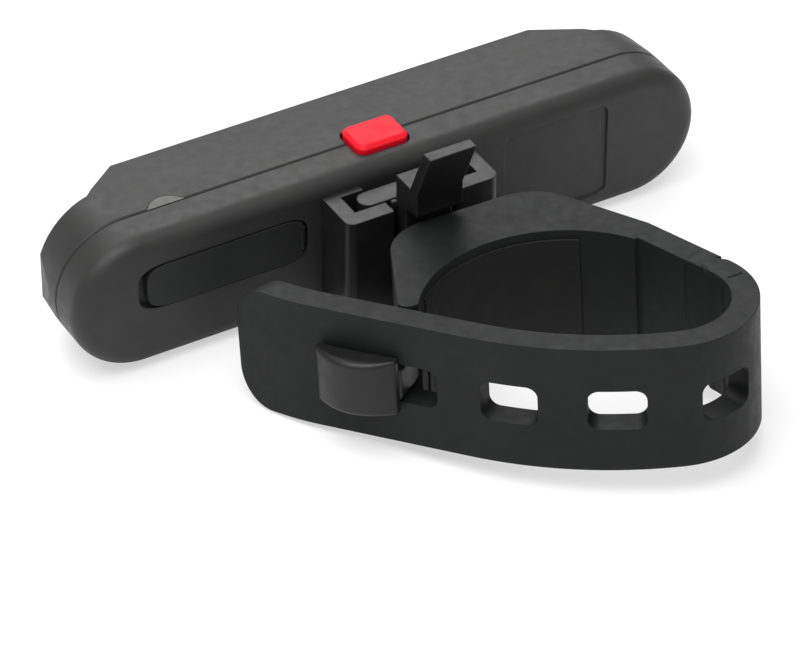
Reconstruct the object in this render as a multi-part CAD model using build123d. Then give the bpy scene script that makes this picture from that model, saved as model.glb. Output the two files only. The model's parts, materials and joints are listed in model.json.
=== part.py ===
from build123d import *
from math import atan2, cos, degrees, radians, sin, sqrt
import os

# A bicycle rear light: a long casing with a lens, held by a slide-on bracket whose rubber strap
# hooks round a seatpost. The light stands upright: X runs along it, the lens faces -Y, the strap +Y.
# Everything is drawn about the middle of the casing's seam, and moved at the end so that the
# origin lies on the seatpost's axis, halfway up the strap.

# Casing
body_length = 92.0
body_height = 19.2
rear_depth = 6.0
front_depth = 13.4
casing_wall = 1.6
back_wall = 2.0
rear_edge = 2.2
seam_chamfer = 0.25
lip_depth = 1.9
lip_step = 0.35

# Corners of the front face, in from the casing's ends and crest, and where the facets reach the lip
crease_set = 15.0
crease_drop = 2.0
facet_set = 9.0
facet_drop = 4.7
nose_set = 4.6
nose_drop = 8.0
lip_crease_set = 15.5
nose_angle = 20.0
pocket_y = -6.9
pocket_wall = 3.0

# Lens and what lies behind it
lens_set = 10.5
lens_stand = 1.5
lens_edge = 0.9
flange_gap = 0.2
flange_width = 1.2
flange_depth = 1.0
diffuser_depth = 1.0
reflector_gap = 0.6
reflector_depth = 1.9
pocket_size = 3.4
pocket_edge = 0.6
led_pitch = 5.2
led_end = 5.0
led_size = 2.8
led_depth = 0.7
led_dome = 1.1
led_dome_depth = 0.3
led_dome_sides = 8
board_depth = 1.0

# Battery and main board
battery_length = 40.0
battery_height = 10.0
battery_depth = 4.0
battery_set = 15.0
battery_edge = 1.0
battery_gap = 0.2
pad_margin = 1.0
lead_radius = 0.4
lead_sides = 8
lead_reach = 2.8
lead_spacing = 2.4
main_board_gap = 0.4
main_board_y = -1.8
post_set = 7.5
post_radius = 2.0
small_screw = 0.7
small_head = 1.4
small_head_depth = 0.9
screw_hole_gap = 0.1
screw_reach = 2.6

# Charging port and its cover
port_set = 19.0
port_z = 2.2
port_length = 8.94
port_height = 3.2
port_shell = 0.3
port_tongue_length = 6.7
port_tongue_height = 0.7
port_tongue_set = 1.2
port_floor = 1.0
port_clearance = 0.15
recess_set = 8.7
recess_dock_gap = 1.9
recess_height = 8.6
recess_corner = 3.6
recess_depth = 1.2
cover_stand = 0.15
nail_gap = 0.9
cover_plug_length = 7.6
cover_plug_height = 1.9
cover_plug_depth = 0.8
cover_hinge_radius = 0.55
cover_hinge_height = 3.4
label_set = 22.0
label_length = 15.5
label_height = 14.0
label_corner = 1.2
label_depth = 0.3

# Mode button, its switch and the indicator
button_length = 8.6
button_low_y = -2.5
button_high_y = 3.1
button_corner = 1.3
button_stand = 1.0
button_edge = 0.5
button_flange = 0.6
button_flange_depth = 0.6
button_travel = 0.5
press_gap = 0.05
switch_length = 4.8
switch_depth = 3.0
switch_height = 3.2
nub_radius = 0.9
nub_height = 0.7
window_set = 15.9
window_radius = 2.9
window_centre_y = 1.2
indicator_size = 1.6
indicator_depth = 0.8
indicator_z = 5.0
seal_inset = 0.5
seal_width = 0.6
seal_depth = 0.8

# Dock on the light's back
dock_length = 22.2
dock_stand = 7.2
dock_wall = 2.2
dock_lip = 2.3
dock_flange = 1.2
dock_flange_reach = 3.3
dock_web_high_z = 3.0
dock_slot = 9.0
dock_low_z = -7.9
dock_high_z = 7.5
dock_corner = 1.3
catch_reach = 0.7
catch_low_z = 5.8
catch_height = 1.0
catch_low_y = 11.4
catch_depth = 0.6
dock_screw_head = 1.5
dock_screw_reach = 3.5

# Bracket: slider, release lever
running_gap = 0.3
slider_length = 14.8
slider_depth = 3.0
slider_high_z = 7.4
shelf_length = 17.0
shelf_depth = 1.3
stem_width = 6.7
stem_low_z = -6.5
stem_high_z = 0.4
foot_low_x = -6.5
foot_high_x = 4.5
foot_depth = 1.4
foot_face_v = 23.0
foot_low_w = -8.9
foot_high_w = -1.3
bracket_screw_radius = 1.1
bracket_screw_head = 1.7
bracket_screw_head_depth = 1.0
bracket_screw_length = 7.0
bracket_screw_w = -4.0
lever_pivot_y = 12.9
lever_pivot_z = 1.5
lever_pivot_radius = 0.9
tongue_low_y = 11.6
tongue_depth = 2.6
lug_reach = 0.75
lug_low_z = 7.0
lever_head_z = 8.2
lever_head_depth = 3.6
lever_head_height = 3.6
lever_lean = 29.0
lever_length = 9.6
lever_thickness = 1.5
lever_grip = 0.55

# Strap ring: u along X, v back from the light, w along the seatpost
ring_tilt = 6.0
ring_high_w = 5.3
ring_width = 16.0
post_centre_u = -2.0
saddle_front_v = 17.0
post_seat_radius = 17.5
saddle_skin = 1.0
frame_thickness = 1.5
frame_margin = 2.5
frame_start_angle = -146.0
saddle_tip_radius = 1.3
saddle_tip_gap = 0.38
pad_start_angle = -115.4
pad_end_angle = -54.0
pad_height = 6.6
pad_set = 0.2
pad_gap = 0.25
strap_thickness = 3.5
strap_heading = 104.56
strap_bend_angle = 128.0
strap_front_angle = 30.9
strap_end_angle = 30.0
strap_corner = 4.5
hinge_clearance = 0.5
hole_length = 7.3
hole_height = 5.9
hole_corner = 1.5
hole_pitch = 12.95
hole_count = 4
hook_gap = 0.35
hook_thickness = 2.6
hook_height = 7.8
hook_overhang = 9.9
hook_arm_width = 2.4
hook_arm_gap = 0.3
hook_arm_corner = 1.15
hook_round = 0.8

# The ring's plan about the post's axis, as shares of the seat's radius: places, then lengths
saddle_left_shares = (0.263, -1.109)
saddle_right_shares = (-0.411, -1.086)
hinge_shares = (-1.1926, 0.2017)
saddle_front_share = 1.52
saddle_round_share = 0.417
strap_base_share = 0.7754
strap_bend_share = 0.5474
strap_front_share = 2.743
strap_straight_share = 1.1566
strap_end_share = 1.143
first_hole_share = 1.3114

quarter_angle = 90
half_angle = 180
cut = 1.0
big = body_length

strap_half = strap_thickness / 2
ring_low_w = ring_high_w - ring_width
ring_mid_w = ring_high_w - ring_width / 2
post_centre_v = saddle_front_v + saddle_front_share * post_seat_radius
hinge_u = post_centre_u + hinge_shares[0] * post_seat_radius
hinge_v = post_centre_v + hinge_shares[1] * post_seat_radius
frame_inner_radius = post_seat_radius + saddle_skin
frame_outer_radius = frame_inner_radius + frame_thickness
first_hole = first_hole_share * post_seat_radius

end_x = body_length / 2
crest_z = body_height / 2
crease_x = end_x - crease_set
crease_z = crest_z - crease_drop
facet_x = end_x - facet_set
facet_z = crest_z - facet_drop
nose_x = end_x - nose_set
nose_z = crest_z - nose_drop
lip_crease_x = end_x - lip_crease_set
flange_length = body_length - 2 * lens_set
flange_height = 2 * (crease_z - casing_wall - flange_gap)
lens_length = flange_length - 2 * flange_width
lens_height = flange_height - 2 * flange_width
board_inset = pocket_wall + main_board_gap
battery_low_x = battery_set - end_x
battery_high_x = battery_low_x + battery_length
port_x = end_x - port_set
recess_high_x = end_x - recess_set
recess_low_x = dock_length / 2 + recess_dock_gap
recess_length = recess_high_x - recess_low_x
recess_x = recess_high_x - recess_length / 2
label_x = label_set - end_x
post_x = end_x - post_set
window_x = end_x - window_set
front_inner_y = -(front_depth - casing_wall)
seam_inner_z = crest_z - pocket_wall
button_flange_z = seam_inner_z - running_gap
button_low_z = button_flange_z - button_flange_depth
switch_top_z = button_low_z - button_travel - press_gap - nub_height
ring_plane = Plane(
    origin=(0, 0, 0),
    x_dir=(1, 0, 0),
    z_dir=(0, -sin(radians(ring_tilt)), cos(radians(ring_tilt))),
)
post_centre = ring_plane.from_local_coords((post_centre_u, post_centre_v, ring_mid_w))
low_side = (Align.CENTER, Align.CENTER, Align.MIN)


def block(x, y, z):
    """A box between pairs of lowest and highest places."""
    middle = Pos((x[0] + x[1]) / 2, (y[0] + y[1]) / 2, (z[0] + z[1]) / 2)
    return middle * Box(x[1] - x[0], y[1] - y[0], z[1] - z[0])


def along_y(outline, low_y, high_y):
    """An outline drawn in X and Z, filled between two depths."""
    return extrude(Plane.XZ.offset(-low_y) * outline, amount=low_y - high_y)


def along_z(outline, low_z, high_z):
    """An outline drawn in X and Y, filled between two heights."""
    return extrude(Plane.XY.offset(low_z) * outline, amount=high_z - low_z)


def along_w(outline, low_w, high_w):
    """An outline drawn in the ring's own plane, filled between two heights of the ring."""
    return ring_plane * along_z(outline, low_w, high_w)


def rod(radius, x, z, low_y, high_y):
    """A round bar that lies along Y."""
    return along_y(Pos(x, z) * Circle(radius), low_y, high_y)


def group(pieces):
    """Equal pieces that share one node."""
    return Compound(children=list(pieces))


def stadium(inset):
    """The casing's outline, drawn in from its full size."""
    return SlotOverall(body_length - 2 * inset, body_height - 2 * inset)


def lip_outline():
    """The outline just ahead of the lip, split where the facets meet it."""
    radius = crest_z - lip_step
    centre_x = end_x - crest_z
    upper = Line((-lip_crease_x, radius), (lip_crease_x, radius))
    outer = Line((lip_crease_x, radius), (centre_x, radius))
    lower = Line((centre_x, -radius), (lip_crease_x, -radius))
    facets = [
        CenterArc((centre_x, 0), radius, start, end - start)
        for start, end in ((quarter_angle, nose_angle), (nose_angle, -nose_angle), (-nose_angle, -quarter_angle))
    ]
    half = [upper, outer, *facets, lower]
    return make_face(half + [edge.rotate(Axis.Z, half_angle) for edge in half])


def face_outline(inset):
    """The front face's outline: a long shape whose ends are cut to facets."""
    half = (
        (crease_x, crease_z - inset),
        (facet_x - inset / 2, facet_z - inset),
        (nose_x - inset, nose_z - inset / 2),
        (nose_x - inset, inset / 2 - nose_z),
        (facet_x - inset / 2, inset - facet_z),
        (crease_x, inset - crease_z),
    )
    return make_face(Polyline(*half, *[(-x, -z) for x, z in half], close=True))


def front_form():
    """The front ahead of its lip: facets between the lip's outline and the front face's."""
    lip = Plane.XZ.offset(lip_depth) * lip_outline()
    face = Plane.XZ.offset(front_depth) * face_outline(0)
    return loft([lip, face], ruled=True)


def button_outline(grow):
    """The button seen from above, drawn out from its own size."""
    middle_y = (button_low_y + button_high_y) / 2
    depth = button_high_y - button_low_y + 2 * grow
    return Pos(0, middle_y) * RectangleRounded(button_length + 2 * grow, depth, button_corner + grow)


def button_notch():
    return along_z(button_outline(running_gap), seam_inner_z - cut, crest_z + cut)


def window_outline():
    half = Pos(window_x, window_centre_y) * Circle(window_radius)
    return half & Pos(window_x, -window_radius) * Rectangle(2 * window_radius, 2 * window_radius)


def front_casing():
    lip = along_y(stadium(0), -lip_depth, 0)
    lip = chamfer(lip.faces().sort_by(Axis.Y)[-1].edges(), seam_chamfer)
    shell = lip + front_form()
    shell -= along_y(face_outline(casing_wall), front_inner_y, pocket_y + cut)
    shell -= along_y(stadium(pocket_wall), pocket_y, cut)
    shell -= along_y(SlotOverall(lens_length, lens_height), -front_depth - cut, front_inner_y + cut)
    shell -= button_notch()
    shell -= along_z(window_outline(), seam_inner_z - cut, crest_z + cut)
    return shell


def front_lens():
    face_y = -front_depth - lens_stand
    boss = along_y(SlotOverall(lens_length, lens_height), face_y, front_inner_y)
    boss = chamfer(boss.faces().sort_by(Axis.Y)[0].edges(), lens_edge)
    return boss + along_y(flange_outline(0), front_inner_y, diffuser_y)


diffuser_y = front_inner_y + flange_depth
reflector_y = diffuser_y + diffuser_depth
led_board_y = reflector_y + reflector_depth
battery_y = led_board_y + board_depth + battery_gap
led_count = int((lens_length - 2 * led_end) / led_pitch) + 1
led_places = [(index - (led_count - 1) / 2) * led_pitch for index in range(led_count)]


def flange_outline(inset):
    """The lens flange's outline, drawn in from its full size."""
    return SlotOverall(flange_length - 2 * inset, flange_height - 2 * inset)


def diffuser():
    return along_y(SlotOverall(lens_length, lens_height), diffuser_y, reflector_y)


def reflector():
    tray = along_y(flange_outline(reflector_gap), reflector_y, led_board_y)
    for x in led_places:
        tray -= along_y(Pos(x, 0) * Rectangle(pocket_size, pocket_size), reflector_y, led_board_y)
    rims = tray.faces().sort_by(Axis.Y)[0].inner_wires()
    return chamfer([edge for rim in rims for edge in rim.edges()], pocket_edge)


def leds():
    chip = block(
        (-led_size / 2, led_size / 2), (led_board_y - led_depth, led_board_y), (-led_size / 2, led_size / 2)
    )
    dome = RegularPolygon(led_dome, led_dome_sides)
    chip += along_y(dome, led_board_y - led_depth - led_dome_depth, led_board_y - led_depth)
    return group(Pos(x, 0, 0) * chip for x in led_places)


def led_board():
    return along_y(flange_outline(flange_gap), led_board_y, led_board_y + board_depth)


def battery():
    cell = block(
        (battery_low_x, battery_high_x),
        (battery_y, battery_y + battery_depth),
        (-battery_height / 2, battery_height / 2),
    )
    return fillet(cell.edges().filter_by(Axis.X), battery_edge)


def battery_pad():
    height = battery_height / 2 - pad_margin
    return block(
        (battery_low_x + pad_margin, battery_high_x - pad_margin),
        (battery_y + battery_depth, main_board_y),
        (-height, height),
    )


def battery_leads():
    start_y = battery_y + battery_depth / 2
    wires = []
    for z in (-lead_spacing / 2, lead_spacing / 2):
        corners = (
            (battery_high_x, start_y, z),
            (battery_high_x + lead_reach, start_y, z),
            (battery_high_x + lead_reach, main_board_y, z),
        )
        section = Plane(origin=corners[0], z_dir=(1, 0, 0)) * RegularPolygon(lead_radius, lead_sides)
        wires.append(sweep(section, path=Polyline(*corners), transition=Transition.RIGHT))
    return group(wires)


board_back_y = main_board_y + board_depth


def main_board():
    board = along_y(stadium(board_inset), main_board_y, board_back_y)
    for x in (-post_x, post_x):
        board -= rod(small_screw + screw_hole_gap, x, 0, main_board_y - cut, board_back_y + cut)
    room = button_outline(button_flange + running_gap)
    return board - along_z(room, button_low_z - button_travel - running_gap, crest_z)


def board_screws():
    head = rod(small_head, 0, 0, main_board_y - small_head_depth, main_board_y)
    screw = head + rod(small_screw, 0, 0, main_board_y, board_back_y + screw_reach)
    return group(Pos(x, 0, 0) * screw for x in (-post_x, post_x))


port_mouth_y = rear_depth - recess_depth


def usb_port():
    place = Pos(port_x, port_z)
    shell = along_y(place * SlotOverall(port_length, port_height), board_back_y, port_mouth_y)
    inside = SlotOverall(port_length - 2 * port_shell, port_height - 2 * port_shell)
    shell -= along_y(place * inside, board_back_y + port_floor, port_mouth_y + cut)
    tongue = Rectangle(port_tongue_length, port_tongue_height)
    return shell + along_y(place * tongue, board_back_y + port_floor, port_mouth_y - port_tongue_set)


def tact_switch():
    body = block(
        (-switch_length / 2, switch_length / 2),
        (board_back_y, board_back_y + switch_depth),
        (switch_top_z - switch_height, switch_top_z),
    )
    nub = Pos(0, board_back_y + switch_depth / 2) * Circle(nub_radius)
    return body + along_z(nub, switch_top_z, switch_top_z + nub_height)


def indicator_led():
    half = indicator_size / 2
    return block(
        (window_x - half, window_x + half),
        (main_board_y - indicator_depth, main_board_y),
        (indicator_z - half, indicator_z + half),
    )


def indicator_window():
    return along_z(window_outline(), seam_inner_z, crest_z)


def seal_ring():
    return stadium(seal_inset) - stadium(seal_inset + seal_width)


def casing_seal():
    return along_y(seal_ring(), 0, seal_depth) - button_notch()


def rear_casing():
    shell = along_y(stadium(0), 0, rear_depth)
    shell = chamfer(shell.faces().sort_by(Axis.Y)[0].edges(), seam_chamfer)
    shell = fillet(shell.faces().sort_by(Axis.Y)[-1].edges(), rear_edge)
    shell -= along_y(stadium(casing_wall), -cut, rear_depth - back_wall)
    shell -= along_y(seal_ring(), -cut, seal_depth)
    shell -= button_notch()
    for x in (-post_x, post_x):
        shell += rod(post_radius, x, 0, board_back_y, rear_depth - back_wall)
        shell -= rod(small_screw, x, 0, board_back_y - cut, board_back_y + screw_reach)
    floor_y = rear_depth - recess_depth
    recess = Pos(recess_x, port_z) * RectangleRounded(recess_length, recess_height, recess_corner)
    shell -= along_y(recess, floor_y, rear_depth + cut)
    opening = SlotOverall(port_length + 2 * port_clearance, port_height + 2 * port_clearance)
    shell -= along_y(Pos(port_x, port_z) * opening, 0, rear_depth)
    label = Pos(label_x, 0) * RectangleRounded(label_length, label_height, label_corner)
    shell -= along_y(label, rear_depth - label_depth, rear_depth + cut)
    for x in (-dock_screw_x, dock_screw_x):
        shell -= rod(small_screw + screw_hole_gap, x, 0, 0, rear_depth + cut)
    return shell


dock_screw_x = (dock_length - dock_wall) / 2
dock_face_y = rear_depth + dock_stand


def dock_receiver():
    middle_y = rear_depth + dock_stand / 2
    outline = Pos(0, middle_y) * Rectangle(dock_length, dock_stand)
    outline = fillet(outline.vertices().group_by(Axis.Y)[-1], dock_corner)
    inner = dock_length - 2 * dock_wall
    channel_depth = dock_stand - dock_lip - dock_flange
    channel_y = rear_depth + dock_flange + channel_depth / 2
    outline -= Pos(0, channel_y) * Rectangle(inner, channel_depth)
    outline -= Pos(0, dock_face_y) * Rectangle(dock_slot, 2 * dock_lip + cut)
    channel = along_z(outline, dock_low_z, dock_high_z)
    half_notch = inner / 2 - dock_flange_reach
    channel -= block(
        (-half_notch, half_notch), (rear_depth - cut, channel_y), (dock_web_high_z, dock_high_z + cut)
    )
    for side in (-1, 1):
        channel += block(
            sorted((side * dock_slot / 2, side * (dock_slot / 2 - catch_reach))),
            (catch_low_y, catch_low_y + catch_depth),
            (catch_low_z, catch_low_z + catch_height),
        )
        channel -= rod(small_screw, side * dock_screw_x, 0, rear_depth - cut, rear_depth + dock_screw_reach)
    return channel


def receiver_screws():
    seat_y = rear_depth - back_wall
    head = rod(dock_screw_head, 0, 0, seat_y - small_head_depth, seat_y)
    screw = head + rod(small_screw, 0, 0, seat_y, rear_depth + dock_screw_reach)
    return group(Pos(x, 0, 0) * screw for x in (-dock_screw_x, dock_screw_x))


def mode_button():
    cap = along_z(button_outline(0), button_flange_z, crest_z + button_stand)
    cap = chamfer(cap.faces().sort_by(Axis.Z)[-1].edges(), button_edge)
    return cap + along_z(button_outline(button_flange), button_low_z, button_flange_z)


cover_hinge_x = recess_low_x + running_gap + cover_hinge_radius
cover_low_y = rear_depth - recess_depth + running_gap
cover_hinge_y = cover_low_y + cover_hinge_radius


def port_cover():
    length = recess_length - 2 * running_gap - nail_gap
    height = recess_height - 2 * running_gap
    middle_x = recess_low_x + running_gap + length / 2
    flap = Pos(middle_x, port_z) * RectangleRounded(length, height, recess_corner - running_gap)
    flap &= Pos(cover_hinge_x, port_z) * Rectangle(length, height, align=(Align.MIN, Align.CENTER))
    cover = along_y(flap, cover_low_y, rear_depth + cover_stand)
    knuckle = Pos(cover_hinge_x, cover_hinge_y) * Circle(cover_hinge_radius)
    cover += along_z(knuckle, port_z - cover_hinge_height / 2, port_z + cover_hinge_height / 2)
    plug = Pos(port_x, port_z) * RectangleRounded(
        cover_plug_length, cover_plug_height, cover_plug_height / 3
    )
    return cover + along_y(plug, cover_low_y - running_gap - cover_plug_depth, cover_low_y)


slider_low_y = rear_depth + dock_flange + running_gap
slider_high_y = slider_low_y + slider_depth
shelf_high_z = dock_low_z - running_gap


def behind_foot():
    """The space between the light and the face that the slider's foot ends at."""
    return ring_plane * Pos(0, foot_face_v, 0) * Rot(quarter_angle, 0, 0) * Box(big, big, big, align=low_side)


def bracket_slider():
    slab = Pos(0, slider_low_y + slider_depth / 2) * SlotOverall(slider_length, slider_depth)
    piece = along_z(slab, shelf_high_z, slider_high_z)
    shelf = block(
        (-shelf_length / 2, shelf_length / 2),
        (slider_low_y, dock_face_y - running_gap),
        (shelf_high_z - shelf_depth, shelf_high_z),
    )
    piece += fillet(shelf.edges().filter_by(Axis.Z), shelf_depth)
    stem = block(
        (-stem_width / 2, stem_width / 2),
        (slider_high_y - slider_depth / 2, foot_face_v + cut),
        (stem_low_z, stem_high_z),
    )
    foot = ring_plane * block(
        (foot_low_x, foot_high_x), (foot_face_v - foot_depth, foot_face_v), (foot_low_w, foot_high_w)
    )
    piece += stem & behind_foot()
    piece += foot
    return piece - bracket_screw()


def sector(centre, inner, outer, start, span):
    """A slice of a ring, between two angles."""
    far = CenterArc(centre, outer, start, span)
    near = CenterArc(centre, inner, start, span)
    return make_face([far, near, Line(far @ 0, near @ 0), Line(far @ 1, near @ 1)])


def seat_sector(inner, outer, start, end):
    return sector((post_centre_u, post_centre_v), inner, outer, start, end - start)


def bracket_screw():
    """The screw that holds the slider's foot against the frame."""
    head_v = post_centre_v - frame_inner_radius
    place = ring_plane * Pos(0, head_v, bracket_screw_w) * Rot(quarter_angle, 0, 0)
    head = Cylinder(bracket_screw_head, bracket_screw_head_depth, align=low_side)
    shank = Cylinder(bracket_screw_radius, bracket_screw_length, align=low_side)
    return place * (head + shank)


def toward(heading):
    """A step of unit length in the ring's plan."""
    return Vector(cos(radians(heading)), sin(radians(heading)))


def strap_steps():
    """Each stretch of the strap's middle line: where it starts, its heading, radius and turn."""
    stretches = (
        (strap_bend_share, strap_bend_angle),
        (strap_front_share, strap_front_angle),
        (0, strap_straight_share),
        (strap_end_share, strap_end_angle),
    )
    place = Vector(hinge_u, hinge_v)
    heading = strap_heading
    steps = []
    for radius_share, turn in stretches:
        radius = radius_share * post_seat_radius
        if radius:
            steps.append((place, heading, radius, turn))
            centre = place + toward(heading - quarter_angle) * radius
            heading -= turn
            place = centre - toward(heading - quarter_angle) * radius
        else:
            steps.append((place, heading, 0, turn * post_seat_radius))
            place += toward(heading) * turn * post_seat_radius
    return steps


def strap_point(from_end):
    """The middle line's place and heading at a distance from the strap's free end."""
    for place, heading, radius, turn in reversed(strap_steps()):
        length = radians(turn) * radius if radius else turn
        if from_end > length:
            from_end -= length
            continue
        along = length - from_end
        if not radius:
            return place + toward(heading) * along, heading
        centre = place + toward(heading - quarter_angle) * radius
        heading -= degrees(along / radius)
        return centre - toward(heading - quarter_angle) * radius, heading
    raise ValueError("beyond the strap")


def strap_frame(from_end):
    """A plane on the strap's outer face: x to the free end, y outward, z up the ring."""
    place, heading = strap_point(from_end)
    spot = place + toward(heading + quarter_angle) * strap_half
    x_dir = toward(heading)
    return (
        ring_plane
        * Plane(
            origin=(spot.X, spot.Y, ring_mid_w), x_dir=(x_dir.X, x_dir.Y, 0), z_dir=(0, 0, 1)
        ).location
    )


def strap_outline():
    outline = Pos(hinge_u, hinge_v) * Circle(strap_half)
    for place, heading, radius, turn in strap_steps():
        if radius:
            centre = place + toward(heading - quarter_angle) * radius
            outline += sector(
                (centre.X, centre.Y), radius - strap_half, radius + strap_half, heading + quarter_angle, -turn
            )
        else:
            outline += Pos(place.X, place.Y) * Rot(0, 0, heading) * Rectangle(
                turn, strap_thickness, align=(Align.MIN, Align.CENTER)
            )
    return outline


def strap_band():
    band = along_w(strap_outline(), ring_low_w, ring_high_w)
    end = strap_point(0)[0]
    tip = ring_plane.from_local_coords((end.X, end.Y, ring_mid_w))
    corners = band.edges().filter_by(lambda edge: abs(edge.length - strap_thickness) < strap_half / 10)
    corners = corners.sort_by(lambda edge: (edge.center() - tip).length)[:2]
    band = fillet(corners, strap_corner)
    for index in range(hole_count):
        hole = Rot(quarter_angle, 0, 0) * RectangleRounded(hole_length, hole_height, hole_corner)
        hole = extrude(hole, amount=strap_thickness + cut, both=True)
        band -= strap_frame(first_hole + index * hole_pitch) * hole
    return band


arm_from_end = first_hole - hole_length / 2 + hook_arm_gap + hook_arm_width / 2


def arm_root():
    """How deep the hook's arm meets the frame's middle line, and that spot in the ring's plan."""
    place, heading = strap_point(arm_from_end)
    outward = toward(heading + quarter_angle)
    centre = Vector(post_centre_u, post_centre_v)
    start = place - centre
    across = start.dot(outward)
    middle = frame_inner_radius + frame_thickness / 2
    depth = across - sqrt(across**2 - start.dot(start) + middle**2)
    return depth, start - outward * depth


def strap_hook():
    """The arm that comes out through the strap's first hole, and its head."""
    place = strap_frame(arm_from_end)
    arm_low = -strap_half - arm_root()[0] - frame_thickness / 2
    arm_high = hook_gap + hook_thickness / 2
    arm_height = hole_height - 2 * hook_arm_gap
    arm = RectangleRounded(hook_arm_width, arm_height, hook_arm_corner)
    arm = along_y(arm, arm_low, arm_high)
    head = block(
        (-hook_arm_width / 2, hook_arm_width / 2 + hook_overhang),
        (hook_gap, hook_gap + hook_thickness),
        (-hook_height / 2, hook_height / 2),
    )
    head = fillet(head.faces().sort_by(Axis.Y)[-1].edges(), hook_round)
    return place * (arm + head)


def hook_frame():
    """The hard core inside the saddle, with the strap's hook at its end."""
    root = arm_root()[1]
    frame_end_angle = degrees(atan2(root.Y, root.X))
    arc = seat_sector(frame_inner_radius, frame_outer_radius, frame_start_angle, frame_end_angle)
    frame = along_w(arc, ring_low_w + frame_margin, ring_high_w - frame_margin)
    pad_back_v = post_centre_v - frame_inner_radius - frame_thickness / 2
    frame += ring_plane * block(
        (foot_low_x, foot_high_x), (foot_face_v, pad_back_v), (foot_low_w, foot_high_w)
    )
    return frame + strap_hook() - bracket_screw()


def saddle_outline():
    centre = Vector(post_centre_u, post_centre_v)
    shoulders = [
        (centre + Vector(*shares) * post_seat_radius, saddle_round_share * post_seat_radius)
        for shares in (saddle_left_shares, saddle_right_shares)
    ]
    tip, heading = strap_point(arm_from_end)
    tip -= toward(heading + quarter_angle) * (strap_half + saddle_tip_gap + saddle_tip_radius)
    rounds = shoulders + [(tip, saddle_tip_radius), (base_start(), strap_half)]
    return make_hull([edge for spot, r in rounds for edge in (Pos(spot.X, spot.Y) * Circle(r)).edges()])


def base_start():
    """Where the strap leaves the saddle, on the strap's middle line."""
    return Vector(hinge_u, hinge_v) - toward(strap_heading) * strap_base_share * post_seat_radius


def strap_saddle():
    outline = saddle_outline() - Pos(post_centre_u, post_centre_v) * Circle(post_seat_radius)
    start = base_start()
    outline += Pos(start.X, start.Y) * Rot(0, 0, strap_heading) * Rectangle(
        strap_base_share * post_seat_radius, strap_thickness, align=(Align.MIN, Align.CENTER)
    )
    outline -= Pos(hinge_u, hinge_v) * Circle(strap_half + hinge_clearance)
    saddle = along_w(outline, ring_low_w, ring_high_w)
    pocket = seat_sector(post_seat_radius - cut, frame_inner_radius, pad_start_angle, pad_end_angle)
    half = pad_height / 2
    saddle -= along_w(pocket, ring_mid_w - half, ring_mid_w + half)
    saddle -= hook_frame()
    saddle -= bracket_slider()
    saddle -= bracket_screw()
    return saddle


def saddle_pad():
    margin = degrees(pad_gap / post_seat_radius)
    patch = seat_sector(
        post_seat_radius + pad_set, frame_inner_radius, pad_start_angle + margin, pad_end_angle - margin
    )
    half = pad_height / 2 - pad_gap
    return along_w(patch, ring_mid_w - half, ring_mid_w + half)


def release_lever():
    half = stem_width / 2
    tongue = block(
        (-half, half), (tongue_low_y, tongue_low_y + tongue_depth), (lever_pivot_z, lever_head_z)
    )
    pivot = Plane.YZ * Pos(lever_pivot_y, lever_pivot_z) * Circle(lever_pivot_radius)
    tongue += extrude(pivot, amount=half, both=True)
    head_high_z = lever_head_z + lever_head_height
    tongue += block(
        (-half, half), (tongue_low_y, tongue_low_y + lever_head_depth), (lever_head_z, head_high_z)
    )
    for side in (-1, 1):
        tongue += block(
            sorted((side * half, side * (half + lug_reach))),
            (catch_low_y, catch_low_y + catch_depth),
            (lug_low_z, lug_low_z + catch_height),
        )
    root = Pos(0, tongue_low_y + lever_head_depth - lever_thickness, head_high_z - lever_thickness)
    plate = Box(stem_width, lever_thickness, lever_length, align=(Align.CENTER, Align.MIN, Align.MIN))
    grip = Pos(0, lever_thickness, lever_length - lever_grip)
    plate += grip * Rot(0, quarter_angle, 0) * Cylinder(lever_grip, stem_width)
    return tongue + root * Rot(-lever_lean, 0, 0) * plate


pieces = {
    "front_casing": front_casing,
    "front_lens": front_lens,
    "diffuser": diffuser,
    "reflector": reflector,
    "leds": leds,
    "led_board": led_board,
    "battery": battery,
    "battery_pad": battery_pad,
    "battery_leads": battery_leads,
    "main_board": main_board,
    "board_screws": board_screws,
    "usb_port": usb_port,
    "tact_switch": tact_switch,
    "indicator_led": indicator_led,
    "indicator_window": indicator_window,
    "casing_seal": casing_seal,
    "rear_casing": rear_casing,
    "dock_receiver": dock_receiver,
    "receiver_screws": receiver_screws,
    "mode_button": mode_button,
    "port_cover": port_cover,
    "bracket_slider": bracket_slider,
    "bracket_screw": bracket_screw,
    "hook_frame": hook_frame,
    "strap_saddle": strap_saddle,
    "saddle_pad": saddle_pad,
    "release_lever": release_lever,
    "strap_band": strap_band,
}

os.makedirs("parts", exist_ok=True)
to_origin = Pos(-post_centre.X, -post_centre.Y, -post_centre.Z)
for name, make in pieces.items():
    export_step(to_origin * make(), f"parts/{name}.step")
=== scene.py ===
import json
import math

import bmesh
import bpy
from mathutils import Matrix, Vector


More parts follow.
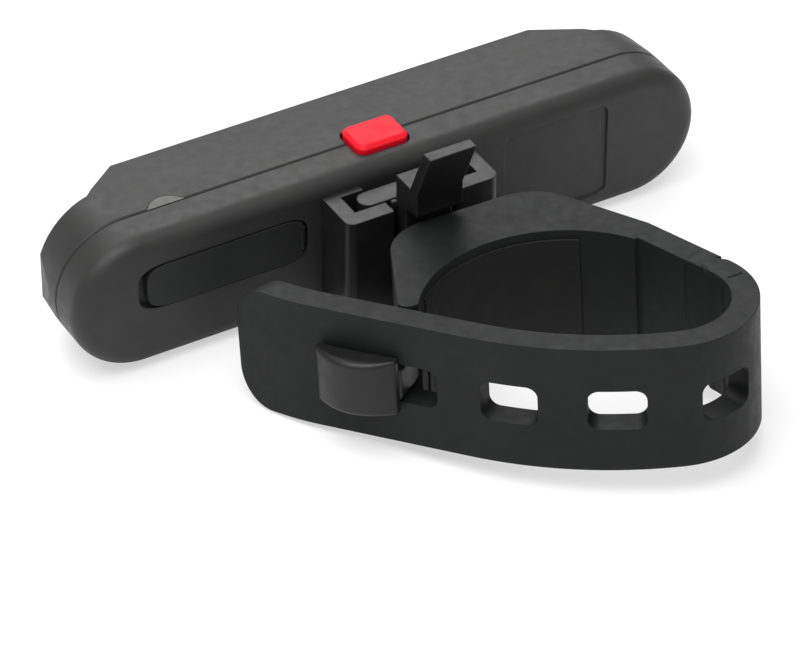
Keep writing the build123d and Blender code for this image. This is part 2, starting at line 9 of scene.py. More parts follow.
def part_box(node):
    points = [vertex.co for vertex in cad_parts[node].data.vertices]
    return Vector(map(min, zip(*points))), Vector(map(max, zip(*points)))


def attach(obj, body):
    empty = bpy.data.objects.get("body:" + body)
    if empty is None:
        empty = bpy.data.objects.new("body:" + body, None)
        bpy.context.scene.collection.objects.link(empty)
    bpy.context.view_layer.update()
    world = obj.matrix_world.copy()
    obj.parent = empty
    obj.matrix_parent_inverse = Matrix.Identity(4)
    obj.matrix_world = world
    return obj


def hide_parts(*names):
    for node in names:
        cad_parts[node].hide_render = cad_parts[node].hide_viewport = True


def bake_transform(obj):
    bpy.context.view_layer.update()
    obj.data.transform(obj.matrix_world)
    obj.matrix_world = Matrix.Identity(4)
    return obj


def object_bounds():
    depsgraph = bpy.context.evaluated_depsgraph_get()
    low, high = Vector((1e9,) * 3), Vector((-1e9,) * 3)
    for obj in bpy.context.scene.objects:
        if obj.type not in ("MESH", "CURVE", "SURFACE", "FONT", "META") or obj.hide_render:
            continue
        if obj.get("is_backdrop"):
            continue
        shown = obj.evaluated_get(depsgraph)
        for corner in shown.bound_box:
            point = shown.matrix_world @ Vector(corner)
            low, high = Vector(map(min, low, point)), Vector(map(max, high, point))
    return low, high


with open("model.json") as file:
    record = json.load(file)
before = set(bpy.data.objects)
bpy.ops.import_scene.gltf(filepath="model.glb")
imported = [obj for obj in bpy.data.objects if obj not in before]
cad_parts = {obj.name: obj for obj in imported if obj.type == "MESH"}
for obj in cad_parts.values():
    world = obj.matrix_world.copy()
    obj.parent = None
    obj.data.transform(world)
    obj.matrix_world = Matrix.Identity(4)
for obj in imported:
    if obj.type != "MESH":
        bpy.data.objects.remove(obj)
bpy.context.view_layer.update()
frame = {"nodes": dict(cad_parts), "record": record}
nodes = frame["nodes"]

MM = 0.001

# Camera: where it stands, seen from the middle of the casing's seam, and what it aims at
CAMERA_AZIMUTH = 150.53
CAMERA_ELEVATION = 36.0
CAMERA_DISTANCE = 600 * MM
CAMERA_LENS = 208.17
CAMERA_SENSOR = 36
CAMERA_NEAR = 10 * MM
AIM_OFFSET = Vector((2.2, 10.61, -13.37)) * MM

# Studio: the floor and the level light around, then each lamp's place from the part, size and power
FLOOR_SIZE = 3.0
FLOOR_GAP = 0.05 * MM
FLOOR_GREY = 0.82
FLOOR_ROUGHNESS = 0.9
FLOOR_GLOW = 0.55
WORLD_LIGHT = 0.55
LAMPS = {
    "key": (Vector((0.25, 0.1, 0.7)), (0.7, 0.5), 7.0),
    "back": (Vector((-0.2, -0.6, 0.5)), (0.6, 0.4), 3.0),
}

# Finishes: the size of the spots in colour and gloss, how far these change, and how fine the noise is
NOISE_RANGE = (0.35, 0.65)
MOTTLE_SIZE = 6 * MM
GLOSS_SIZE = 1.5 * MM
GLOSS_CHANGE = 0.05
TONE_SIZE = 2 * MM
TONE_DARKEST = 0.88
SHEEN_SIZE = 0.7 * MM
SHEEN_CHANGE = 0.15
SPOT_DETAIL = 3.0
GLOSS_DETAIL = 4.0
GRAIN_DETAIL = 2.0
SOFTEN_SAMPLES = 6

# Moulded finishes: darkest and lightest colour and roughness, then the grain's size, its depth and how far
# edges are softened, these three in millimetres, and the level of specular reflection
MOULDED = {
    "casing_black": ((0.0165, 0.0168, 0.0162), (0.0205, 0.0207, 0.02), 0.5, 0.16, 0.01, 0.3, 0.32),
    "dock_black": ((0.0075, 0.0075, 0.008), (0.0105, 0.0105, 0.011), 0.36, 0.3, 0.002, 0.25, 0.28),
    "hook_black": ((0.0075, 0.008, 0.0075), (0.0105, 0.011, 0.0102), 0.42, 0.25, 0.004, 0.2, 0.28),
    "strap_rubber": ((0.005, 0.0055, 0.0056), (0.0068, 0.0073, 0.0074), 0.58, 0.35, 0.004, 0.2, 0.22),
    "pad_rubber": ((0.0055, 0.006, 0.0055), (0.0075, 0.008, 0.0072), 0.6, 0.3, 0.004, 0.15, 0.22),
    "button_red": ((0.68, 0.004, 0.014), (0.72, 0.005, 0.018), 0.5, 0.4, 0.002, 0.3, 0.2),
    "cover_rubber": ((0.0095, 0.01, 0.01), (0.0125, 0.013, 0.013), 0.55, 0.2, 0.004, 0.2, 0.24),
}

# Plain finishes: colour, roughness, and what else the shader is given
PLAIN = {
    "seal_rubber": ((0.015, 0.015, 0.015), 0.6, {}),
    "lens_red": ((0.5, 0.003, 0.006), 0.16, {"Coat Weight": 0.1, "Transmission Weight": 0.35}),
    "window_smoke": ((0.045, 0.045, 0.042), 0.45, {}),
    "diffuser_white": ((0.8, 0.8, 0.8), 0.6, {}),
    "reflector_white": ((0.85, 0.85, 0.85), 0.25, {}),
    "led_amber": ((0.8, 0.55, 0.15), 0.3, {}),
    "board_green": ((0.01, 0.12, 0.04), 0.35, {"Coat Weight": 0.4}),
    "cell_foil": ((0.7, 0.7, 0.72), 0.3, {"Metallic": 1.0}),
    "foam_grey": ((0.08, 0.08, 0.08), 0.9, {}),
    "wire_red": ((0.5, 0.02, 0.02), 0.45, {}),
    "port_steel": ((0.6, 0.6, 0.6), 0.25, {"Metallic": 1.0}),
    "switch_black": ((0.02, 0.02, 0.02), 0.5, {}),
    "screw_steel": ((0.55, 0.55, 0.55), 0.3, {"Metallic": 1.0}),
}

# Soft and moulded pieces: how far their edges are rounded, and what counts as an edge
STRAP_ROUNDING = 0.8 * MM
BUTTON_ROUNDING = 0.8 * MM
COVER_ROUNDING = 0.35 * MM
ROUNDING_STEPS = 3
NORMALS_WEIGHT = 80
EDGE_ANGLE = math.radians(38)
FLAT_ANGLE = math.radians(0.6)
WELD = 0.001 * MM

# Heights in the strap's own axes: its rubber reaches lower than the solid's, and its slots are less high
STRAP_REACH = 8 * MM
STRAP_LOWER = 1.4 * MM
SLOT_REACH = 2.95 * MM
SLOT_LOOKS = 2.75 * MM

# The strap's free end, in the plan of the strap: where its bend starts, and the bend's two radii
BEND_START = Vector((23.918, -17.775)) * MM
BEND_HEADING = math.radians(-54.34)
BEND_RADIUS = 20.0025 * MM
BEND_LOOKS = 35.0 * MM
BEND_GROWTH = 0.63
BEND_REACH = 3.0 * MM
BEND_TURN = 1.0

# The rubber over the joint of the strap and its base, along the strap and across it
JOINT_PLACE = Vector((-20.8705, 3.5298)) * MM
JOINT_HEADING = math.radians(104.56)
JOINT_BEND = 9.5795 * MM
JOINT_START = -4.5 * MM
JOINT_END = 3.0 * MM
JOINT_STEPS = 16
STRAP_THICKNESS = 3.5 * MM
JOINT_SKIN = 0.035 * MM

# The saddle's liner: a thin panel on the face that holds the seatpost, around it and along it
LINER_START = math.radians(-129)
LINER_END = math.radians(-46)
LINER_RADIUS = 17.5 * MM
LINER_STAND = 0.22 * MM
LINER_ROOT = 0.4 * MM
LINER_LOW = -8.0 * MM
LINER_HIGH = 6.7 * MM
LINER_STEPS = 40

# The button and its notch in the back half, shorter than the solids'; from the seam's middle
NOTCH_REACH = 5.5 * MM
NOTCH_DEPTH = 3.6 * MM
NOTCH_FLOOR = 3.0 * MM
NOTCH_SHARE = 0.87

# The port cover and its recess, lower than the solids'; from the seam's middle
RECESS_FLOOR = 4.6 * MM
RECESS_HEIGHT = 4.5 * MM
RECESS_STEADY = 2.3 * MM
RECESS_SHARE = 0.5
RECESS_MARGINS = (1 * MM, 2 * MM)

# The front of the casing: its lip, draft and chamfer, the cut ends as steps in from the end and forward of
# the seam, and the reliefs above and below as steps in from the end and down from the crest
LIP_DEPTH = 1.9 * MM
FRONT_DRAFT = 1.0 * MM
SEAM_CHAMFER = 0.25 * MM
END_STEPS = ((14.8 * MM, 13.4 * MM), (8.4 * MM, 7.2 * MM), (0, 6.4 * MM), (-6 * MM, 5.1 * MM))
NOSE_STEPS = ((0, 1.9 * MM), (2.7 * MM, 13.4 * MM))
RELIEF_START = 2.4 * MM
RELIEF_LIP = ((15.5 * MM, 0), (11.3 * MM, -0.05 * MM))
RELIEF_FACE = ((14.8 * MM, 2.0 * MM), (6.97 * MM, 1.05 * MM))
ROUND_STEPS = 24
OVERRUN = 3 * MM
CREASE_ANGLE = math.radians(9)

# The front's hollow: half its length, half its height and its depth; the wider pocket at the seam; the lens's
# edge over its slot and the share of its length that is shown
CAVITY = (31 * MM, 5.6 * MM, 11.8 * MM)
POCKET_WALL = 3 * MM
POCKET_DEPTH = 4.9 * MM
LENS_EDGE = 1.2 * MM
LENS_SHARE = 0.86

# The hole for the button in the front half, from the seam's middle
HOLE_REACH = 4.0 * MM
HOLE_FORWARD = 2.8 * MM
HOLE_BACK = 5 * MM
HOLE_FLOOR = 6 * MM
HOLE_CORNER = 1.4 * MM

# The release lever: its head and its leaning plate, from the seam's middle
LEVER_CUT = 8.4 * MM
HEAD_START = 11.6 * MM
HEAD_END = 16.9 * MM
LEVER_FOOT = 15.1 * MM
LEVER_TOP = 11.8 * MM
LEVER_RISE = 7.4 * MM
LEVER_LEAN = math.radians(24.2)
LEVER_ROUNDING = 0.14 * MM

# The hook's head, which swells between its ends
HOOK_FOOT = 11.12 * MM
HOOK_THICKNESS = 2.6 * MM
HOOK_END = 1.1 * MM
HOOK_CROWN = 3.3 * MM
HOOK_TRIM = (0.3 * MM, 1.2 * MM)
HOOK_VOXEL = 0.14 * MM
HOOK_SMOOTHING = 5
HOOK_SMOOTHNESS = 0.5


def seam_middle():
    low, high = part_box("front_casing")
    return Vector(((low.x + high.x) / 2, high.y, (low.z + high.z) / 2))


seam = seam_middle()
seam_axes = Matrix.Translation(seam)
slot_of = {part["node"]: part["material_slot"] for part in frame["record"]["subparts"]}


def from_seam(node):
    """A solid's lowest and highest corner, from the seam's middle."""
    return [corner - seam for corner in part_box(node)]


class Nodes:
    """A material's node tree, with short ways to add and join nodes."""

    def __init__(self, name):
        self.material = bpy.data.materials.new(name)
        self.material.use_nodes = True
        self.tree = self.material.node_tree
        self.shader = self.tree.nodes["Principled BSDF"]
        self.position = self.add("ShaderNodeNewGeometry").outputs["Position"]

    def add(self, kind, **settings):
        node = self.tree.nodes.new(kind)
        for key, value in settings.items():
            setattr(node, key, value)
        return node

    def link(self, source, target):
        self.tree.links.new(source, target)

    def noise(self, size, detail):
        """Noise whose spots are about this large, in metres."""
        scale = self.add("ShaderNodeVectorMath", operation="MULTIPLY")
        scale.inputs[1].default_value = [1 / size] * 3
        self.link(self.position, scale.inputs[0])
        noise = self.add("ShaderNodeTexNoise")
        noise.inputs["Scale"].default_value = 1.0
        noise.inputs["Detail"].default_value = detail
        self.link(scale.outputs[0], noise.inputs["Vector"])
        return noise.outputs["Fac"]

    def spread(self, value, low, high):
        """Maps the middle of a noise to a range."""
        node = self.add("ShaderNodeMapRange")
        node.inputs["From Min"].default_value = NOISE_RANGE[0]
        node.inputs["From Max"].default_value = NOISE_RANGE[1]
        node.inputs["To Min"].default_value = low
        node.inputs["To Max"].default_value = high
        self.link(value, node.inputs["Value"])
        return node.outputs["Result"]

    def between(self, value, dark, light):
        """A colour between two, by a value from 0 to 1."""
        node = self.add("ShaderNodeMix", data_type="RGBA")
        self.link(value, node.inputs["Factor"])
        node.inputs["A"].default_value = (*dark, 1)
        node.inputs["B"].default_value = (*light, 1)
        return node.outputs["Result"]

    def soften(self, radius):
        """Rounded edges, as every moulded piece has."""
        bevel = self.add("ShaderNodeBevel", samples=SOFTEN_SAMPLES)
        bevel.inputs["Radius"].default_value = radius
        return bevel.outputs["Normal"]

    def bump(self, height, depth, normal):
        node = self.add("ShaderNodeBump")
        node.inputs["Distance"].default_value = depth
        self.link(height, node.inputs["Height"])
        self.link(normal, node.inputs["Normal"])
        self.link(node.outputs["Normal"], self.shader.inputs["Normal"])


def moulded(name, dark, light, rough, grain, depth, edge, specular):
    """Moulded plastic or rubber: a fine spark-eroded grain, faint mottling and softened edges."""
    n = Nodes(name)
    mottle = n.spread(n.noise(MOTTLE_SIZE, SPOT_DETAIL), 0.0, 1.0)
    gloss = n.spread(n.noise(GLOSS_SIZE, GLOSS_DETAIL), rough - GLOSS_CHANGE, rough + GLOSS_CHANGE)
    n.link(n.between(mottle, dark, light), n.shader.inputs["Base Color"])
    n.link(gloss, n.shader.inputs["Roughness"])
    n.shader.inputs["Specular IOR Level"].default_value = specular
    n.bump(n.noise(grain * MM, GRAIN_DETAIL), depth * MM, n.soften(edge * MM))
    return n.material


def plain(name, colour, rough, settings):
    """A plain finish with a slight change of tone and gloss over it."""
    n = Nodes(name)
    tone = n.spread(n.noise(TONE_SIZE, SPOT_DETAIL), 0.0, 1.0)
    sheen = n.spread(n.noise(SHEEN_SIZE, SPOT_DETAIL), rough * (1 - SHEEN_CHANGE), rough * (1 + SHEEN_CHANGE))
    n.link(n.between(tone, [TONE_DARKEST * level for level in colour], colour), n.shader.inputs["Base Color"])
    n.link(sheen, n.shader.inputs["Roughness"])
    for socket, value in settings.items():
        n.shader.inputs[socket].default_value = value
    return n.material


materials = {slot: moulded(slot, *look) for slot, look in MOULDED.items()}
materials |= {slot: plain(slot, *look) for slot, look in PLAIN.items()}


def paint(piece, slot):
    piece.data.materials.clear()
    piece.data.materials.append(materials[slot])


def body_of(node):
    for body, members in frame["record"]["behaviour"]["bodies"].items():
        if node in members:
            return body
    raise ValueError(node)


def in_scene(name, mesh):
    """A new object in the scene."""
    piece = bpy.data.objects.new(name, mesh)
    bpy.context.scene.collection.objects.link(piece)
    return piece


def as_object(skin, name):
    """A new object in the scene with a skin's mesh."""
    mesh = bpy.data.meshes.new(name)
    skin.to_mesh(mesh)
    skin.free()
    return in_scene(name, mesh)


def settle(piece):
    """Applies a piece's modifiers."""
    bpy.context.view_layer.update()
    made = bpy.data.meshes.new_from_object(piece.evaluated_get(bpy.context.evaluated_depsgraph_get()))
    piece.modifiers.clear()
    piece.data = made


def stand_for(piece, node):
    """Puts a piece in its solid's place."""
    paint(piece, slot_of[node])
    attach(piece, body_of(node))
    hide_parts(node)


def finish(piece, node):
    """Shades and settles a piece, and puts it in its solid's place."""
    for polygon in piece.data.polygons:
        polygon.use_smooth = True
    settle(piece)
    stand_for(piece, node)


def lean():
    """Turns the strap's own axes, with their origin on the seatpost, into the frame's."""
    axis = frame["record"]["mounts"][0]["axis"]
    return Matrix.Rotation(math.atan2(-axis[1], axis[2]), 4, "X")


def heading(angle):
    return Vector((math.cos(angle), math.sin(angle)))


def lowered(w):
    """The rubber's height, with its lower edge further down than the solid's."""
    return STRAP_REACH - (STRAP_REACH - w) * (2 * STRAP_REACH + STRAP_LOWER) / (2 * STRAP_REACH)


def slotted(w):
    """The same for the strap, whose slots stay in the middle of its height and are a little less high."""
    middle = -STRAP_LOWER / 2
    if abs(w) <= SLOT_REACH:
        return middle + w * SLOT_LOOKS / SLOT_REACH
    share = (abs(w) - SLOT_REACH) / (STRAP_REACH - SLOT_REACH)
    reach = SLOT_LOOKS + share * (STRAP_REACH + STRAP_LOWER / 2 - SLOT_LOOKS)
    return middle + math.copysign(reach, w)


def longer_end(plan):
    """The free end, which is a little longer than the solid's and bends less."""
    inward = heading(BEND_HEADING - math.pi / 2)
    arm = plan - (BEND_START + inward * BEND_RADIUS)
    start = BEND_HEADING + math.pi / 2
    turned = start - math.atan2(arm.y, arm.x)
    if not 0 <= turned <= BEND_TURN or abs(arm.length - BEND_RADIUS) > BEND_REACH:
        return plan
    reach = BEND_LOOKS + arm.length - BEND_RADIUS
    return BEND_START + inward * BEND_LOOKS + heading(start - turned * BEND_GROWTH) * reach


def strap_form(place):
    return Vector((*longer_end(place.xy), slotted(place.z)))


def saddle_form(place):
    return Vector((*place.xy, lowered(place.z)))


def button_form(place):
    """The button and its notch are shorter than the solids'."""
    x, y, z = place
    if abs(x) < NOTCH_REACH and abs(y) < NOTCH_DEPTH and z > NOTCH_FLOOR:
        x *= NOTCH_SHARE
    return Vector((x, y, z))


cover_low, cover_high = from_seam("port_cover")


def recess_form(place):
    """The port cover and its recess are lower than the solids'."""
    middle = (cover_low.z + cover_high.z) / 2
    inside = cover_low.x - RECESS_MARGINS[0] < place.x < cover_high.x + RECESS_MARGINS[1]
    rise = place.z - middle
    if not inside or place.y < RECESS_FLOOR or not RECESS_STEADY < abs(rise) < RECESS_HEIGHT:
        return place
    reach = RECESS_STEADY + (abs(rise) - RECESS_STEADY) * RECESS_SHARE
    return Vector((place.x, place.y, middle + math.copysign(reach, rise)))


def casing_form(place):
    return recess_form(button_form(place))


def shorter_form(place):
    """The lens and what lies behind it are shorter, to fit between the front's cut ends."""
    return Vector((place.x * LENS_SHARE, place.y, place.z))


def reshaped(node, name, form):
    """A copy of a solid, fitted to a form around the seam's middle."""
    piece = in_scene(name, nodes[node].data.copy())
    for vertex in piece.data.vertices:
        vertex.co = seam_axes @ form(seam_axes.inverted() @ (nodes[node].matrix_world @ vertex.co))
    stand_for(piece, node)


def solid_skin(node, axes):
    """A CAD solid's mesh in other axes, without the edges that lie in a flat face."""
    skin = bmesh.new()
    skin.from_mesh(nodes[node].data)
    skin.transform(axes.inverted() @ nodes[node].matrix_world)
    bmesh.ops.remove_doubles(skin, verts=skin.verts, dist=WELD)
    bmesh.ops.dissolve_limit(skin, angle_limit=FLAT_ANGLE, verts=skin.verts, edges=skin.edges)
    return skin


def rounded(skin, axes, node, name, rounding):
    """A piece from a skin whose sharp edges are rounded, in its solid's place."""
    weight = skin.edges.layers.float.new("bevel_weight_edge")
    for edge in skin.edges:
        edge[weight] = float(edge.calc_face_angle(0) > EDGE_ANGLE)
    skin.transform(axes)
    piece = as_object(skin, name)
    bevel = piece.modifiers.new("round", "BEVEL")
    bevel.limit_method = "WEIGHT"
    bevel.width = rounding
    bevel.segments = ROUNDING_STEPS
    normals = piece.modifiers.new("shade", "WEIGHTED_NORMAL")
    normals.weight = NORMALS_WEIGHT
    finish(piece, node)


def rubber(node, name, rounding, form, axes):
    """A CAD solid's skin, fitted to the photographed form and rounded as moulded rubber is."""
    skin = solid_skin(node, axes)
    for vertex in skin.verts:
        vertex.co = form(vertex.co.copy())
    rounded(skin, axes, node, name, rounding)


def through(rings):
    """A closed skin through rings of as many points each."""
    skin = bmesh.new()
    made = [[skin.verts.new(spot) for spot in ring] for ring in rings]
    for ring, after in zip(made, made[1:]):
        for index in range(len(ring)):
            skin.faces.new((ring[index - 1], ring[index], after[index], after[index - 1]))
    skin.faces.new(made[0])
    skin.faces.new(reversed(made[-1]))
    bmesh.ops.recalc_face_normals(skin, faces=skin.faces)
    return skin


def around(spots):
    """The closed skin that lies tight around some places."""
    skin = bmesh.new()
    verts = [skin.verts.new(spot) for spot in spots]
    bmesh.ops.convex_hull(skin, input=verts)
    bmesh.ops.recalc_face_normals(skin, faces=skin.faces)
    return skin


def carve(piece, skin):
    """Takes a skin's inside away from a piece."""
    tool = as_object(skin, "cutter")
    cut = piece.modifiers.new("cut", "BOOLEAN")
    cut.operation = "DIFFERENCE"
    cut.solver = "EXACT"
    cut.object = tool
    settle(piece)
    bpy.data.objects.remove(tool)


def slot_ring(half_length, half_height, y):
    """A long round-ended outline around the seam's middle, this far along Y."""
    ring = []
    for side, start in ((1, -math.pi / 2), (-1, math.pi / 2)):
        for step in range(ROUND_STEPS + 1):
            angle = start + math.pi * step / ROUND_STEPS
            x = side * (half_length - half_height) + half_height * math.cos(angle)
            ring.append((x, y, half_height * math.sin(angle)))
    return ring


def relief(half, crest, depth, side):
    """Places around the space above the front's upper relief, or below its lower one."""
    spots = []
    for y, edge in ((RELIEF_START, RELIEF_LIP), (depth, RELIEF_FACE), (depth + OVERRUN, RELIEF_FACE)):
        for inward, drop in edge:
            spots += [(x, -y, side * (crest - drop)) for x in (half - inward, inward - half)]
        outer = half - edge[1][0]
        spots += [(x, -y, side * (crest + OVERRUN)) for x in (outer, -outer)]
    return spots


def button_hole(top):
    """Places around the button's hole, whose corners are round."""
    return [
        (x + HOLE_CORNER * math.cos(angle), y + HOLE_CORNER * math.sin(angle), z)
        for x in (HOLE_CORNER - HOLE_REACH, HOLE_REACH - HOLE_CORNER)
        for y in (HOLE_CORNER - HOLE_FORWARD, HOLE_BACK - HOLE_CORNER)
        for angle in (math.tau * step / ROUND_STEPS for step in range(ROUND_STEPS))
        for z in (HOLE_FLOOR, top)
    ]


def window_hole(top):
    """Places around the half-round hole for the indicator's window."""
    low, high = from_seam("indicator_window")
    radius = (high.x - low.x) / 2
    centre = Vector((low.x + radius, low.y + radius))
    spots = [
        (*(centre + heading(angle) * radius), z)
        for angle in (math.pi * (1 + step / ROUND_STEPS) for step in range(ROUND_STEPS + 1))
        for z in (HOLE_FLOOR, top)
    ]
    return spots + [(x, OVERRUN, z) for x in (low.x, high.x) for z in (HOLE_FLOOR, top)]


def front_shell():
    """The front half of the casing, with the photographed reliefs and cut ends."""
    low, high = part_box("front_casing")
    half, crest, depth = (high.x - low.x) / 2, (high.z - low.z) / 2, high.y - low.y
    top, past = crest + OVERRUN, depth + OVERRUN
    steps = ((SEAM_CHAMFER, 0), (0, SEAM_CHAMFER), (0, LIP_DEPTH), (FRONT_DRAFT, depth))
    rings = [slot_ring(half - inset, crest - inset, -y) for inset, y in steps]
    shell = as_object(through(rings), "front_shell")
    end_cut = [*END_STEPS, (END_STEPS[0][0], past), (END_STEPS[-1][0], past)]
    nose_cut = [*NOSE_STEPS, *((-OVERRUN, y) for _, y in NOSE_STEPS)]
    for side in (1, -1):
        carve(shell, around(relief(half, crest, depth, side)))
        for cut in (end_cut, nose_cut):
            carve(shell, around([(side * (half - inward), -y, z) for inward, y in cut for z in (-top, top)]))
    lens_low, lens_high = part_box("front_lens")
    lens_length = ((lens_high.x - lens_low.x) / 2 - LENS_EDGE) * LENS_SHARE
    lens_height = (lens_high.z - lens_low.z) / 2 - LENS_EDGE
    cavity_length, cavity_height, cavity_depth = CAVITY
    for length, height, start, end in (
        (cavity_length, cavity_height, -OVERRUN, cavity_depth),
        (half - POCKET_WALL, crest - POCKET_WALL, -OVERRUN, POCKET_DEPTH),
        (lens_length, lens_height, depth / 2, past),
    ):
        carve(shell, through([slot_ring(length, height, -start), slot_ring(length, height, -end)]))
    carve(shell, around(button_hole(top)))
    carve(shell, around(window_hole(top)))
    skin = bmesh.new()
    skin.from_mesh(shell.data)
    bmesh.ops.remove_doubles(skin, verts=skin.verts, dist=WELD)
    skin.transform(seam_axes)
    for edge in skin.edges:
        edge.smooth = edge.calc_face_angle(math.pi) < CREASE_ANGLE
    skin.to_mesh(shell.data)
    skin.free()
    finish(shell, "front_casing")


def strap_section():
    """The strap's cross-section, with its edges rounded."""
    half = STRAP_THICKNESS / 2 + JOINT_SKIN
    high = STRAP_REACH + JOINT_SKIN
    low = -STRAP_REACH - STRAP_LOWER - JOINT_SKIN
    spots = []
    for turn, corner in enumerate(((half, high), (-half, high), (-half, low), (half, low))):
        across, w = (reach - math.copysign(STRAP_ROUNDING, reach) for reach in corner)
        for step in range(ROUNDING_STEPS + 1):
            angle = (turn + step / ROUNDING_STEPS) * math.pi / 2
            spots.append((across + STRAP_ROUNDING * math.cos(angle), w + STRAP_ROUNDING * math.sin(angle)))
    return spots


def strap_root():
    """Rubber that runs on from the base into the strap, over the joint that stands in for its bending."""
    axes = lean()
    along_strap = heading(JOINT_HEADING)
    inward = heading(JOINT_HEADING - math.pi / 2)
    rings = []
    for step in range(JOINT_STEPS + 1):
        along = JOINT_START + (JOINT_END - JOINT_START) * step / JOINT_STEPS
        turned = max(along, 0) / JOINT_BEND
        centre = JOINT_PLACE + along_strap * min(along, 0) + inward * JOINT_BEND
        arm = heading(JOINT_HEADING - math.pi / 2 - turned)
        rings.append([(*(centre - arm * (JOINT_BEND + across)), w) for across, w in strap_section()])
    skin = through(rings)
    skin.transform(axes)
    piece = as_object(skin, "strap_root")
    for polygon in piece.data.polygons:
        polygon.use_smooth = len(polygon.vertices) == 4
    paint(piece, "strap_rubber")
    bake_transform(piece)


def liner():
    """The saddle's thin liner, which stands a little proud of the face that holds the seatpost."""
    rings = []
    for step in range(LINER_STEPS + 1):
        angle = LINER_START + (LINER_END - LINER_START) * step / LINER_STEPS
        inner = heading(angle) * (LINER_RADIUS - LINER_STAND)
        outer = heading(angle) * (LINER_RADIUS + LINER_ROOT)
        rings.append(((*inner, LINER_LOW), (*outer, LINER_LOW), (*outer, LINER_HIGH), (*inner, LINER_HIGH)))
    rounded(through(rings), lean(), "saddle_pad", "saddle_liner", LINER_STAND / 2)


def extruded(skin, outline, low, high):
    """Adds a piece whose outline lies in Y and Z, drawn along X from low to high."""
    ends = [[skin.verts.new((x, *spot)) for spot in outline] for x in (low, high)]
    skin.faces.new(ends[0])
    skin.faces.new(reversed(ends[1]))
    for index in range(len(outline)):
        before = index - 1
        skin.faces.new((ends[0][before], ends[1][before], ends[1][index], ends[0][index]))


def lever():
    """The release lever, with its head and plate as photographed."""
    skin = solid_skin("release_lever", seam_axes)
    low = min(v.co.x for v in skin.verts if v.co.z > LEVER_TOP)
    high = max(v.co.x for v in skin.verts if v.co.z > LEVER_TOP)
    everything = [*skin.verts, *skin.edges, *skin.faces]
    cut = bmesh.ops.bisect_plane(
        skin, geom=everything, plane_co=(0, 0, LEVER_CUT), plane_no=(0, 0, 1), clear_outer=True
    )
    rim = [part for part in cut["geom_cut"] if isinstance(part, bmesh.types.BMEdge)]
    bmesh.ops.holes_fill(skin, edges=rim)
    plate_top = LEVER_TOP + LEVER_RISE
    reach = LEVER_RISE * math.tan(LEVER_LEAN)
    outline = [
        (HEAD_START, LEVER_CUT),
        (HEAD_END, LEVER_CUT),
        (HEAD_END, LEVER_TOP),
        (HEAD_END + reach, plate_top),
        (LEVER_FOOT + reach, plate_top),
        (LEVER_FOOT, LEVER_TOP),
        (HEAD_START, LEVER_TOP),
    ]
    extruded(skin, outline, low, high)
    bmesh.ops.recalc_face_normals(skin, faces=skin.faces)
    rounded(skin, seam_axes, "release_lever", "lever_plate", LEVER_ROUNDING)


def hook():
    """The hard core, with the swollen head of its hook."""
    axes = lean()
    piece = as_object(solid_skin("hook_frame", axes), "hook_core")
    remesh = piece.modifiers.new("skin", "REMESH")
    remesh.mode = "VOXEL"
    remesh.voxel_size = HOOK_VOXEL
    settle(piece)
    mesh = piece.data
    along, outward = heading(BEND_HEADING), heading(BEND_HEADING + math.pi / 2)
    head = [v for v in mesh.vertices if v.co.xy.dot(outward) > HOOK_FOOT]
    low = min(v.co.xy.dot(along) for v in head)
    high = max(v.co.xy.dot(along) for v in head)
    for vertex in mesh.vertices:
        vertex.co.z -= STRAP_LOWER / 2
    for vertex in head:
        share = (vertex.co.xy.dot(along) - low) / (high - low)
        swell = HOOK_END + (HOOK_CROWN - HOOK_END) * (1 - (2 * share - 1) ** 2)
        rise = (vertex.co.xy.dot(outward) - HOOK_FOOT) * swell / HOOK_THICKNESS
        reach = low + HOOK_TRIM[0] + share * (high - low - HOOK_TRIM[0] - HOOK_TRIM[1])
        vertex.co.xy = along * reach + outward * (HOOK_FOOT + rise)
    mesh.transform(axes)
    smooth = piece.modifiers.new("round", "SMOOTH")
    smooth.factor = HOOK_SMOOTHNESS
    smooth.iterations = HOOK_SMOOTHING
    finish(piece, "hook_frame")


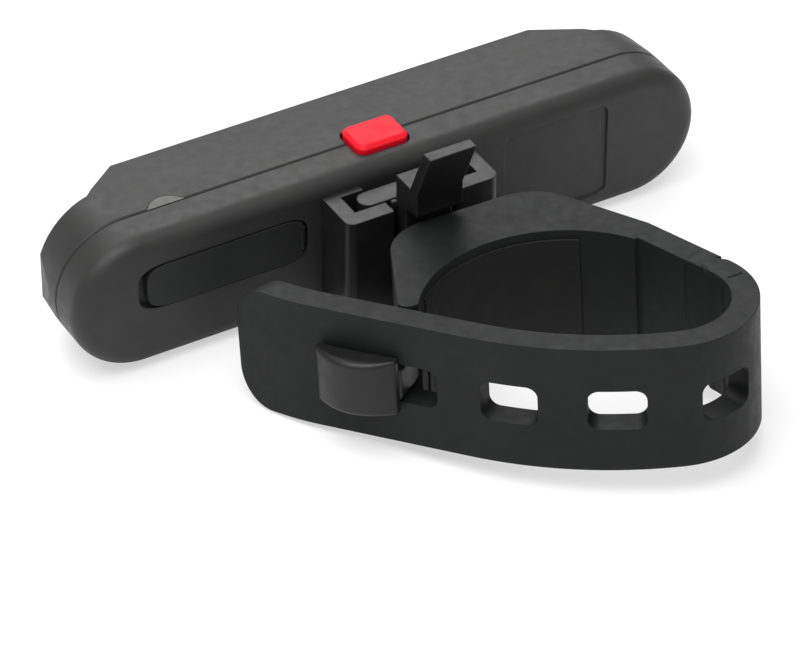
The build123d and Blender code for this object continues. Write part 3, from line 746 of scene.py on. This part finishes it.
def floor():
    """A pale floor just under the part, which looks white to the camera and keeps the part's shadow."""
    half, z = FLOOR_SIZE / 2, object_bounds()[0][2] - FLOOR_GAP
    mesh = bpy.data.meshes.new("floor")
    corners = [(-half, -half, z), (half, -half, z), (half, half, z), (-half, half, z)]
    mesh.from_pydata(corners, [], [(0, 1, 2, 3)])
    n = Nodes("floor_white")
    n.shader.inputs["Base Color"].default_value = (FLOOR_GREY, FLOOR_GREY, FLOOR_GREY, 1)
    n.shader.inputs["Roughness"].default_value = FLOOR_ROUGHNESS
    n.shader.inputs["Specular IOR Level"].default_value = 0.0
    path = n.add("ShaderNodeLightPath")
    share = n.add("ShaderNodeMath", operation="MULTIPLY")
    share.inputs[1].default_value = FLOOR_GLOW
    n.link(path.outputs["Is Camera Ray"], share.inputs[0])
    glow = n.add("ShaderNodeEmission")
    glow.inputs["Strength"].default_value = 1.0
    mix = n.add("ShaderNodeMixShader")
    n.link(share.outputs[0], mix.inputs["Fac"])
    n.link(n.shader.outputs[0], mix.inputs[1])
    n.link(glow.outputs[0], mix.inputs[2])
    n.link(mix.outputs[0], n.tree.nodes["Material Output"].inputs["Surface"])
    mesh.materials.append(n.material)
    in_scene("floor", mesh)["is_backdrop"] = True


def surroundings():
    """White to the camera and through clear pieces, and a plain level light on the part."""
    world = bpy.data.worlds.new("studio")
    bpy.context.scene.world = world
    world.use_nodes = True
    tree = world.node_tree
    background = tree.nodes["Background"]
    background.inputs["Color"].default_value = (1, 1, 1, 1)
    path = tree.nodes.new("ShaderNodeLightPath")
    seen = tree.nodes.new("ShaderNodeMath")
    seen.operation = "MAXIMUM"
    tree.links.new(path.outputs["Is Camera Ray"], seen.inputs[0])
    tree.links.new(path.outputs["Is Transmission Ray"], seen.inputs[1])
    strength = tree.nodes.new("ShaderNodeMapRange")
    strength.inputs["To Min"].default_value = WORLD_LIGHT
    strength.inputs["To Max"].default_value = 1.0
    tree.links.new(seen.outputs[0], strength.inputs["Value"])
    tree.links.new(strength.outputs["Result"], background.inputs["Strength"])


def lamps():
    low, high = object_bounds()
    middle = (Vector(low) + Vector(high)) / 2
    for name, (offset, size, power) in LAMPS.items():
        data = bpy.data.lights.new(name, "AREA")
        data.shape = "RECTANGLE"
        data.size, data.size_y = size
        data.energy = power
        light = in_scene(name, data)
        light.location = middle + offset
        light.rotation_euler = (-offset).to_track_quat("-Z", "Y").to_euler()


def toward(azimuth, elevation):
    """A step of unit length from the part towards a place that looks at it."""
    around_z, up = math.radians(azimuth), math.radians(elevation)
    level = math.cos(up)
    return Vector((math.sin(around_z) * level, -math.cos(around_z) * level, math.sin(up)))


def camera():
    data = bpy.data.cameras.new("camera")
    data.lens = CAMERA_LENS
    data.sensor_width = CAMERA_SENSOR
    data.clip_start = CAMERA_NEAR
    view = in_scene("camera", data)
    view.location = seam + toward(CAMERA_AZIMUTH, CAMERA_ELEVATION) * CAMERA_DISTANCE
    aim = seam + AIM_OFFSET - view.location
    view.rotation_euler = aim.to_track_quat("-Z", "Y").to_euler()
    bpy.context.scene.camera = view


for node, piece in nodes.items():
    paint(piece, slot_of[node])

front_shell()
for node in ("front_lens", "diffuser", "reflector", "leds", "led_board"):
    reshaped(node, "short_" + node, shorter_form)
reshaped("rear_casing", "rear_shell", casing_form)
rubber("strap_band", "strap_rubber_band", STRAP_ROUNDING, strap_form, lean())
rubber("strap_saddle", "saddle_rubber", STRAP_ROUNDING, saddle_form, lean())
rubber("mode_button", "button_cap", BUTTON_ROUNDING, button_form, seam_axes)
rubber("port_cover", "port_flap", COVER_ROUNDING, recess_form, seam_axes)
strap_root()
liner()
lever()
hook()
floor()
surroundings()
lamps()
camera()
bpy.context.scene.view_settings.view_transform = "Standard"
